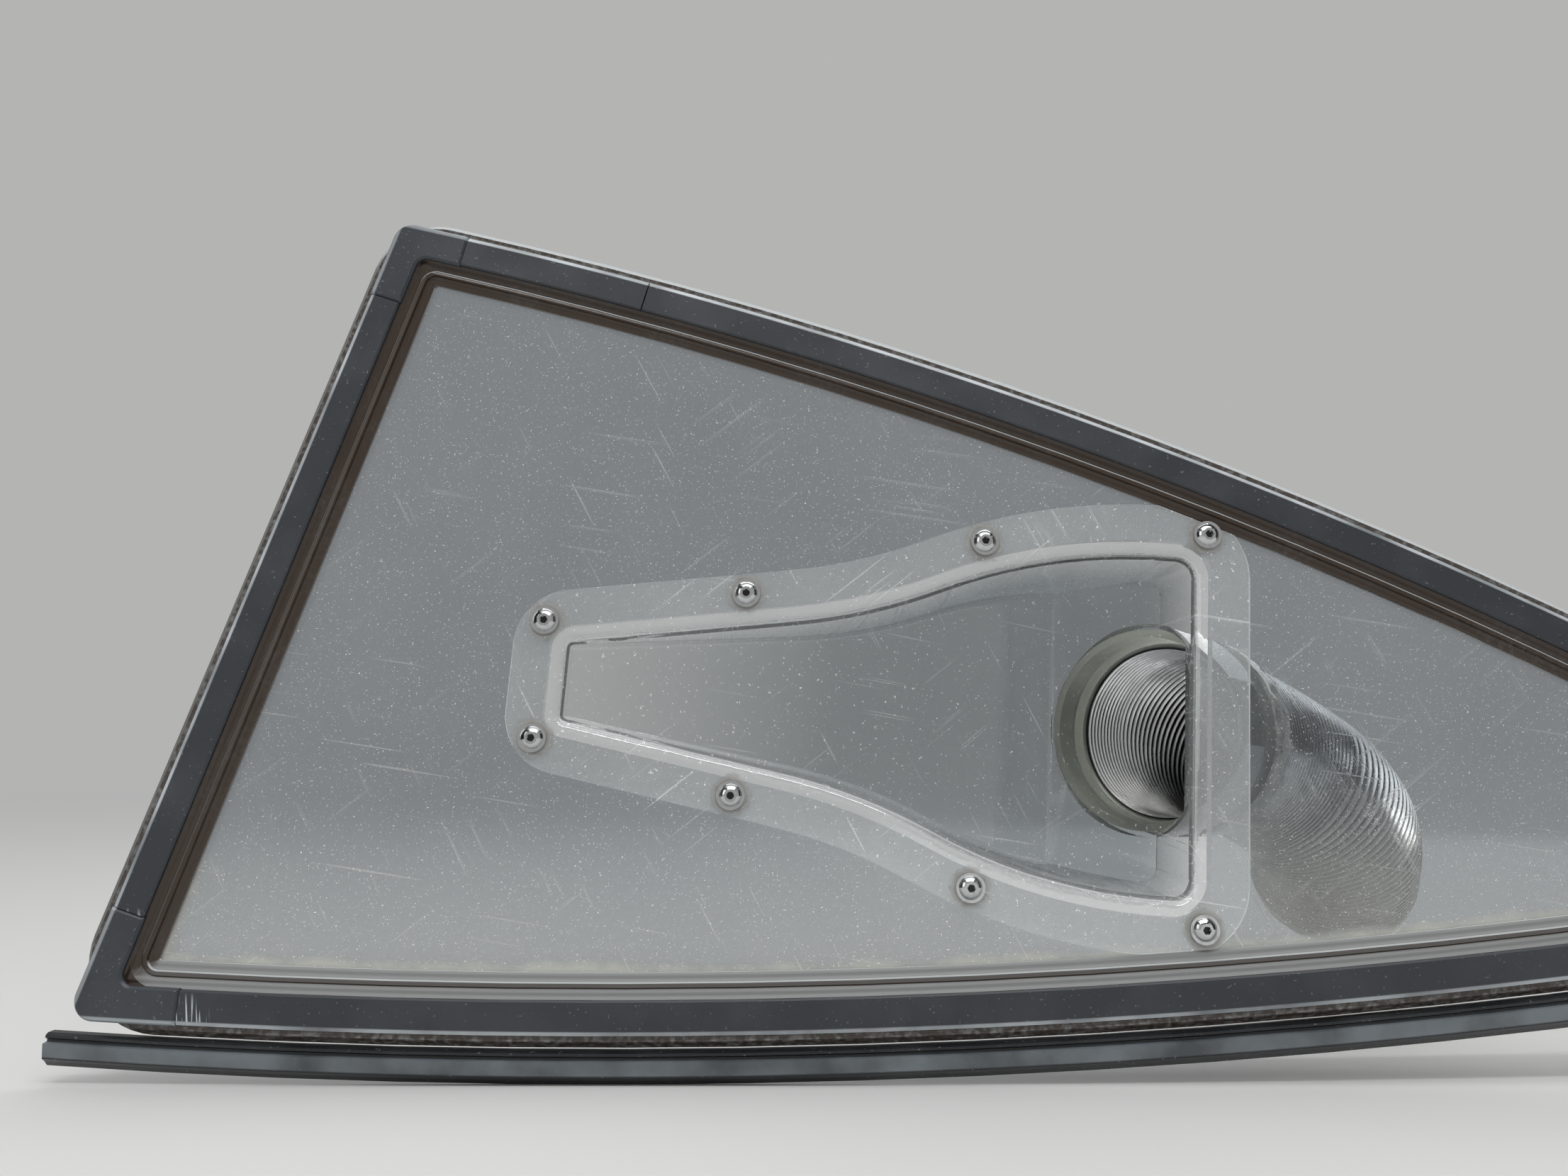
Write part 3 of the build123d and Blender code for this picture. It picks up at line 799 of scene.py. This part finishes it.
@dataclass
class Hose:
    """The corrugated metal hose: ribs rolled from thin strip, on a route with two bends."""

    duct: DuctFrame = field(default_factory=DuctFrame)
    root: float = 39.0
    crest: float = 41.6
    wall: float = 0.3
    pitch: float = 3.2
    sides: int = 64
    recess: float = 20.7
    straight: float = 34.0
    # Each bend's radius, its angle and the roll of its plane
    first_bend: Triple = (118.0, 36.0, 44.0)
    second_bend: Triple = (90.0, 42.0, -63.0)
    cuff: float = 28.0
    plain_end: float = 7.0
    bead: float = 1.3
    # How dark the outer grooves are painted, as painted shade, and how much more the inner ones are
    outer_depth: float = 0.8
    inner_more: float = 0.1

    def route(self) -> bpy.types.Object:
        """Draw the route's middle line as a curve.

        Returns:
            The curve object, which the ribs are bent along and which is then removed.
        """
        place = self.duct.ring + self.duct.outlet_axis * self.recess
        heading = self.duct.outlet_axis
        knots = [(place, heading, 0.0, self.straight / 3)]
        place = place + heading * self.straight
        before = self.straight / 3
        for radius, angle, roll in (self.first_bend, self.second_bend):
            turn, lean = math.radians(angle), math.radians(roll)
            reach = 4 / 3 * math.tan(turn / 4) * radius
            knots.append((place, heading, before, reach))
            across = (self.duct.across - heading * self.duct.across.dot(heading)).normalized()
            inwards = heading.cross(across) * math.sin(lean) - across * math.cos(lean)
            sideways = inwards * radius * (1 - math.cos(turn))
            place = place + heading * radius * math.sin(turn) + sideways
            heading = heading * math.cos(turn) + inwards * math.sin(turn)
            before = reach
        knots.append((place, heading, before, self.cuff / 3))
        knots.append((place + heading * self.cuff, heading, self.cuff / 3, 0.0))
        line = bpy.data.curves.new("route", "CURVE")
        line.dimensions = "3D"
        line.resolution_u = 48
        run = line.splines.new("BEZIER")
        run.bezier_points.add(len(knots) - 1)
        for point, (spot, ahead, back, reach) in zip(run.bezier_points, knots):
            point.handle_left_type = point.handle_right_type = "FREE"
            point.co = spot * MM
            point.handle_left = (spot - ahead * max(back, 1.0)) * MM
            point.handle_right = (spot + ahead * max(reach, 1.0)) * MM
        route = bpy.data.objects.new("route", line)
        bpy.context.scene.collection.objects.link(route)
        return route

    @property
    def ribbed_length(self) -> float:
        """The length of the route that carries ribs."""
        bends = (self.first_bend, self.second_bend)
        arcs = sum(radius * math.radians(angle) for radius, angle, _ in bends)
        return self.straight + arcs + self.cuff - self.plain_end

    def build(self, material: bpy.types.Material) -> bpy.types.Object:
        """Model one rib, repeat it, add the cuff and the thickness, and bend it to the route.

        Args:
            material: The rolled metal.

        Returns:
            The hose, which stands for its three CAD stretches.
        """
        count = round(self.ribbed_length / self.pitch)
        pitch = self.ribbed_length / count * MM
        rib = start_ring(self.sides, self.root)
        rise = self.crest / self.root
        middle = (1 + rise) / 2
        # Two steps up a flank, along the crest, two steps down, and along the groove
        shares = (0.20, 0.12, 0.22, 0.12, 0.20, 0.14)
        scales = (middle, rise / middle, 1.0, middle / rise, 1 / middle, 1.0)
        draw_out([(share * pitch, scale) for share, scale in zip(shares, scales)])
        modify(
            rib,
            "ARRAY",
            use_relative_offset=False,
            use_constant_offset=True,
            constant_offset_displace=(pitch, 0, 0),
            count=count,
            use_merge_vertices=True,
            merge_threshold=0.02 * MM,
        )
        self.end_cuff(rib)
        modify(rib, "SOLIDIFY", thickness=self.wall * MM, offset=-1.0)
        self.mark_grooves(rib.data, count * pitch)
        route = self.route()
        modify(rib, "CURVE", object=route, deform_axis="POS_X")
        bpy.data.objects.remove(route)
        bpy.ops.object.shade_smooth_by_angle(angle=math.radians(50))
        hose = settle(rib, "hose", material)
        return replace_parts(hose, "hose_start", "hose_middle", "hose_end")

    def mark_grooves(self, mesh: bpy.types.Mesh, length: float) -> None:
        """Write on each point of the straight row how deep it lies in a groove of its own side.

        Args:
            mesh: The row's mesh, whose second half is the other skin of the first.
            length: The length that carries ribs, in metres.
        """
        half = len(mesh.vertices) // 2
        reach = [math.hypot(vertex.co.y, vertex.co.z) / MM for vertex in mesh.vertices]
        depth = []
        for number, vertex in enumerate(mesh.vertices):
            rise = (reach[number] - self.root) / (self.crest - self.root)
            outside = reach[number] > reach[(number + half) % (2 * half)]
            deep = self.outer_depth * (1 - rise) if outside else rise + self.inner_more
            depth.append(deep if vertex.co.x < length else 0.0)
        groove = mesh.attributes.new("groove", "FLOAT", "POINT")
        groove.data.foreach_set("value", depth)

    def end_cuff(self, hose: bpy.types.Object) -> None:
        """Run the last ring on as a short plain end with a small rolled bead.

        Args:
            hose: The straight row of ribs.
        """
        end = max(vertex.co.x for vertex in hose.data.vertices)
        for vertex in hose.data.vertices:
            vertex.select = vertex.co.x > end - 0.01 * MM
        for edge in hose.data.edges:
            edge.select = all(hose.data.vertices[i].select for i in edge.vertices)
        bead = 1 + self.bead / self.root
        steps = [(0.25, 1.0), (0.25, 1.0), (0.16, bead), (0.18, 1.0), (0.16, 1 / bead)]
        draw_out([(share * self.plain_end * MM, scale) for share, scale in steps])


@dataclass
class SealantBand:
    """The band of clear sealant, smeared by hand over the collar's end and the first ribs."""

    duct: DuctFrame = field(default_factory=DuctFrame)
    collar_length: float = 45.2
    wide: float = 46.5
    narrow: float = 43.0
    lap: float = 14.0
    tail: float = 9.0
    wall: float = 0.9
    sides: int = 96
    rings: int = 6
    lump: float = 0.8
    lump_size: float = 6.0
    ragged: float = 5.0

    def build(self, material: bpy.types.Material) -> bpy.types.Object:
        """Model the band, give it lumps and a ragged edge, and set it on the collar's end.

        Args:
            material: The sealant.

        Returns:
            The band, which stands for its CAD node.
        """
        sleeve = start_ring(self.sides, self.wide)
        fall = (self.narrow / self.wide) ** (1 / self.rings)
        level = (self.lap / self.rings * MM, 1.0)
        falling = (self.tail / self.rings * MM, fall)
        draw_out([level] * self.rings + [falling] * self.rings)
        modify(sleeve, "SOLIDIFY", thickness=self.wall * MM, offset=-1.0)
        self.smear(sleeve)
        start = self.duct.ring + self.duct.outlet_axis * (self.collar_length - self.lap)
        across = self.duct.across
        third = self.duct.outlet_axis.cross(across)
        turn = Matrix((self.duct.outlet_axis, across, third)).transposed().to_4x4()
        sleeve.matrix_world = Matrix.Translation(start * MM) @ turn
        bpy.ops.object.transform_apply(location=True, rotation=True, scale=True)
        bpy.ops.object.shade_smooth()
        made = settle(sleeve, "sealant_band", material)
        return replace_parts(made, "hose_joint")

    def smear(self, sleeve: bpy.types.Object) -> None:
        """Push the band's skin in and out in lumps, and its edges to and fro.

        Args:
            sleeve: The even band.
        """
        cloud = bpy.data.textures.new("smears", "CLOUDS")
        cloud.noise_scale = self.lump_size * MM
        cloud.noise_depth = 2
        for direction, strength in (("NORMAL", 2 * self.lump), ("X", self.ragged)):
            modify(
                sleeve,
                "DISPLACE",
                texture=cloud,
                texture_coords="LOCAL",
                direction=direction,
                strength=strength * MM,
                mid_level=0.5,
            )


@dataclass
class Window:
    """The pane, the rubber seal, the trim strips with their caps, and the belt strip."""

    trims: tuple[str, ...] = ("trim_front", "trim_top_front", "trim_top", "trim_bottom")
    caps: tuple[str, ...] = ("cap_front_top", "cap_front_bottom", "cap_rear")

    def build(self) -> None:
        """Dress the window's nodes."""
        # Solid polycarbonate sheet, years old: clear, with wiping scratches and road film
        pane = ClearPlastic(
            "polycarbonate_sheet_wiped",
            tint="#a9afb4",
            dust="#c6c4b8",
            veil=0.07,
            film=0.24,
            film_high=-60.0,
            residue=0.7,
            lets_mirrored=True,
            speck_share=0.08,
            speck_size=0.45,
            scratch_share=0.35,
        )
        dress("pane", pane.build())
        # Rubber, extruded: brown-black and matt, with its die lines along it
        dress("weather_seal", ExtrudedRubber("epdm_rubber_extruded").build())
        # Aluminium strip, painted: a soft blue-grey sheen, with a painted highlight on its outer edge
        strip = PaintedStrip(
            "aluminium_strip_painted_satin",
            colour="#2b2f34",
            scuffed=((-319.0, -160.5), (-345.0, -128.0)),
        ).build()
        for node in self.trims:
            dress(node, strip)
        # Nylon, moulded: a shade bluer and smoother than the strips, with a fainter painted highlight
        # on its edge
        cap = PaintedStrip("nylon_cap_moulded", colour="#30343a", edge=0.6, rough=0.38).build()
        for node in self.caps:
            dress(node, cap)
        # Steel strip, coated with rubber: almost black, with a broad grey line along its upper edge
        belt = PaintedStrip(
            "belt_strip_rubber_coated",
            colour="#16181b",
            edge_highlight_and_scuffs="#757c81",
            edge_low=32.4,
            edge_high=38.2,
            rough=0.36,
        )
        dress("sill_moulding", belt.build())


@dataclass
class IntakeDuct:
    """The clear moulded duct with the collar in its outlet and its screws."""

    screws: int = 8

    def screw_centres(self) -> Spots:
        """Read where the screws' centres are.

        Returns:
            Their X and Z, in millimetres.
        """
        centres = []
        for number in range(1, self.screws + 1):
            low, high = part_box(f"screw_{number}")
            middle = (low + high) / 2 / MM
            centres.append((middle.x, middle.z))
        return tuple(centres)

    def build(self) -> None:
        """Dress the duct, its collar and its fixings."""
        centres = self.screw_centres()
        # Clear sheet, heated and blown into a mould: glossy inside, with grime and painted shadow at
        # the screws
        shell = ClearPlastic(
            "petg_sheet_vacuum_formed",
            tint="#e0e3e3",
            dust="#e6e8e8",
            # Darker further in: painted shade
            deep_shade_tint="#a2a8ab",
            ior=1.57,
            veil=0.04,
            film=0.04,
            # A pale painted sky sheen on the face
            face_sky_sheen=0.12,
            cut_low=-3.9,
            cut_high=-1.4,
            # The routed edge is frosted; on the mouth's inner wall the white is a painted highlight
            cut_frost_and_highlight=0.95,
            speck_share=0.04,
            scratch_share=0.3,
            stain_and_shadow_places=centres,
        )
        dress("duct", shell.build())
        # Clear tube, sanded for the glue, so it looks frosted
        tube = ClearPlastic(
            "acrylic_tube_sanded",
            tint="#9ba196",
            dust="#8f9188",
            ior=1.49,
            gloss=0.25,
            haze=0.2,
            veil=0.25,
            speck_share=0.1,
            scratch_share=0.2,
        )
        dress("outlet_collar", tube.build())
        # Stainless steel, polished: small mirrors, with painted shade in their sockets
        head = WornMetal(
            "stainless_steel_polished",
            grime_and_shade="#1d1a17",
            rough=0.1,
            soiled=0.2,
            patch=3.0,
            socket_shade_spots=centres,
        ).build()
        # Steel, zinc-plated: duller and a little warm, with grime in patches
        nut = WornMetal("steel_zinc_plated", colour="#b7b6ad", rough=0.3, soiled=0.4, patch=4.0).build()
        for number in range(1, self.screws + 1):
            dress(f"screw_{number}", head)
            dress(f"nut_{number}", nut)


@dataclass
class Studio:
    """The plain pale floor, the soft lamps and the camera at the photograph's angle.

    Lengths are in metres, apart from the lens, which is in millimetres as lenses are.
    """

    floor_radius: float = 9.0
    # Each lamp's place, its width and height, and its power in watts
    lamps: tuple[tuple[str, Triple, float, float, float], ...] = (
        ("ceiling_panel", (0.1, -0.45, 1.35), 1.8, 0.7, 5.0),
        ("ceiling_strip", (0.0, -0.75, 1.0), 1.2, 0.1, 6.0),
        ("side_panel", (-1.7, -1.1, 0.7), 0.7, 1.2, 4.0),
        ("rear_panel", (1.1, 1.5, 0.9), 1.4, 1.0, 8.0),
    )
    # Each dark card's place along X
    cards: tuple[tuple[str, float], ...] = (("card_left", -1.2), ("card_right", 1.3))
    card_size: float = 1.3
    # The room lights the object, from its ground up to its ceiling
    ground: str = "#54585b"
    ceiling: str = "#ffffff"
    # What is seen and mirrored: the backdrop, and a dark gap between its top and the ceiling
    backdrop: str = "#b4b4b3"
    gap: str = "#303336"
    gap_low: float = 0.64
    gap_high: float = 0.82
    lens: float = 24.96
    eye: Triple = (-0.086, -0.4544, -0.067)
    rise: float = 9.7

    def build(self, lowest: float) -> None:
        """Lay the floor, light it and place the camera.

        Args:
            lowest: The height that the object stands at.
        """
        self.lay_floor(lowest)
        self.light_world()
        for name, place, width, height, power in self.lamps:
            self.hang_lamp(name, place, width, height, power)
        for name, side in self.cards:
            self.stand_card(name, side)
        self.place_camera()

    def lay_floor(self, lowest: float) -> None:
        """Model the floor as a wide round sheet.

        Args:
            lowest: The height that it lies at.
        """
        fresh()
        bpy.ops.mesh.primitive_circle_add(
            vertices=128, radius=self.floor_radius, fill_type="NGON", location=(0, 0, lowest)
        )
        floor = bpy.context.object
        bpy.ops.object.transform_apply(location=True, rotation=True, scale=True)
        bpy.ops.object.mode_set(mode="EDIT")
        bpy.ops.mesh.select_all(action="SELECT")
        bpy.ops.mesh.inset(thickness=self.floor_radius * 0.8)
        bpy.ops.object.mode_set(mode="OBJECT")
        floor.name = "floor"
        floor.data.materials.append(StudioPaper("background_paper_matt").build())
        floor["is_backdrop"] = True

    def light_world(self) -> None:
        """Give the room its even light, its pale backdrop and a dark gap above the backdrop."""
        world = bpy.data.worlds.new("studio")
        bpy.context.scene.world = world
        world.use_nodes = True
        tree = world.node_tree
        tree.nodes.clear()
        up = add(tree, "SeparateXYZ", [add(tree, "TexCoord").outputs["Generated"]]).outputs["Z"]
        ceiling = linear(self.ceiling)
        share = add(tree, "MapRange", [up, -0.1, 0.9])
        shade = add(tree, "Mix", [share, linear(self.ground), ceiling], data_type="RGBA")
        room = add(tree, "Background", {"Color": shade, "Strength": 1.0})
        overhead = add(tree, "MapRange", [up, 0.8, 0.92])
        backdrop = add(tree, "Mix", [overhead, linear(self.backdrop), ceiling], data_type="RGBA")
        path = add(tree, "LightPath").outputs
        # The camera itself doesn't see the gap, which is for clear edges and metal to mirror
        between = band(tree, up, self.gap_low, self.gap_high, 0.03)
        mirrored = [between, path["Is Camera Ray"]]
        gap = add(tree, "Math", mirrored, operation="SUBTRACT", use_clamp=True)
        backdrop = add(tree, "Mix", [gap, backdrop, linear(self.gap)], data_type="RGBA")
        paper = add(tree, "Background", {"Color": backdrop, "Strength": 1.0})
        seen = path["Is Camera Ray"]
        for ray in ("Is Transmission Ray", "Is Glossy Ray"):
            seen = add(tree, "Math", [seen, path[ray]], operation="MAXIMUM")
        add(tree, "OutputWorld", {"Surface": add(tree, "MixShader", [seen, room, paper])})

    def stand_card(self, name: str, side: float) -> None:
        """Stand a dark card beside the view, which clear and bright edges take their lines from.

        Args:
            name: The card's name.
            side: Its place along X.
        """
        fresh()
        bpy.ops.mesh.primitive_grid_add(
            x_subdivisions=2,
            y_subdivisions=2,
            size=self.card_size,
            location=(side, 0.2, 0.25),
            rotation=(0, math.pi / 2, 0),
        )
        card = bpy.context.object
        bpy.ops.object.transform_apply(location=True, rotation=True, scale=True)
        card.name = name
        card.visible_camera = card.visible_shadow = card.visible_diffuse = False
        card.data.materials.append(StudioPaper("card_black_matt", colour="#17181a").build())
        card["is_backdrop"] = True

    def hang_lamp(
        self, name: str, place: Triple, width: float, height: float, power: float
    ) -> None:
        """Hang a soft panel that faces the window.

        Args:
            name: The lamp's name.
            place: Its place.
            width: Its width.
            height: Its height.
            power: Its power in watts.
        """
        lamp = bpy.data.lights.new(name, "AREA")
        lamp.shape = "RECTANGLE"
        lamp.size, lamp.size_y = width, height
        lamp.energy = power
        panel = bpy.data.objects.new(name, lamp)
        bpy.context.scene.collection.objects.link(panel)
        panel.visible_camera = panel.visible_transmission = False
        panel.location = place
        panel.rotation_euler = (-Vector(place)).to_track_quat("-Z", "Y").to_euler()

    def place_camera(self) -> None:
        """Place the camera where the photograph was taken from."""
        data = bpy.data.cameras.new("camera")
        data.lens = self.lens
        data.sensor_width = 36.0
        data.clip_start = 0.01
        camera = bpy.data.objects.new("camera", data)
        bpy.context.scene.collection.objects.link(camera)
        camera.location = self.eye
        camera.rotation_euler = (math.radians(90 + self.rise), 0, 0)
        bpy.context.scene.camera = camera


def main() -> None:
    """Build the scene in order."""
    logging.basicConfig(level=logging.INFO, format="%(message)s")
    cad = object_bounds()
    bpy.context.scene.view_settings.view_transform = "Standard"
    Studio().build(cad[0].z)
    Window().build()
    IntakeDuct().build()
    # Aluminium strip, rolled into ribs and folded at its seams: bright, with painted shade in the
    # grooves and a painted warm reflection low down
    rolled = WornMetal(
        "aluminium_strip_rolled",
        colour="#eceeef",
        grime_and_shade="#1f1e1c",
        rough=0.2,
        soiled=0.2,
        patch=14.0,
        ground_reflection="#d8cdb8",
        # Grooves darkened: painted shade
        groove="groove",
    )
    Hose().build(rolled.build())
    # Clear silicone, smeared by hand: milky, with a soft gloss
    smeared = ClearPlastic(
        "silicone_sealant_smeared",
        tint="#e2e3de",
        dust="#c4c3ba",
        ior=1.41,
        gloss=0.03,
        haze=0.1,
        patch=9.0,
        veil=0.75,
        speck_share=0.05,
        scratch_share=0.0,
    )
    SealantBand().build(smeared.build())


if __name__ == "__main__":
    main()
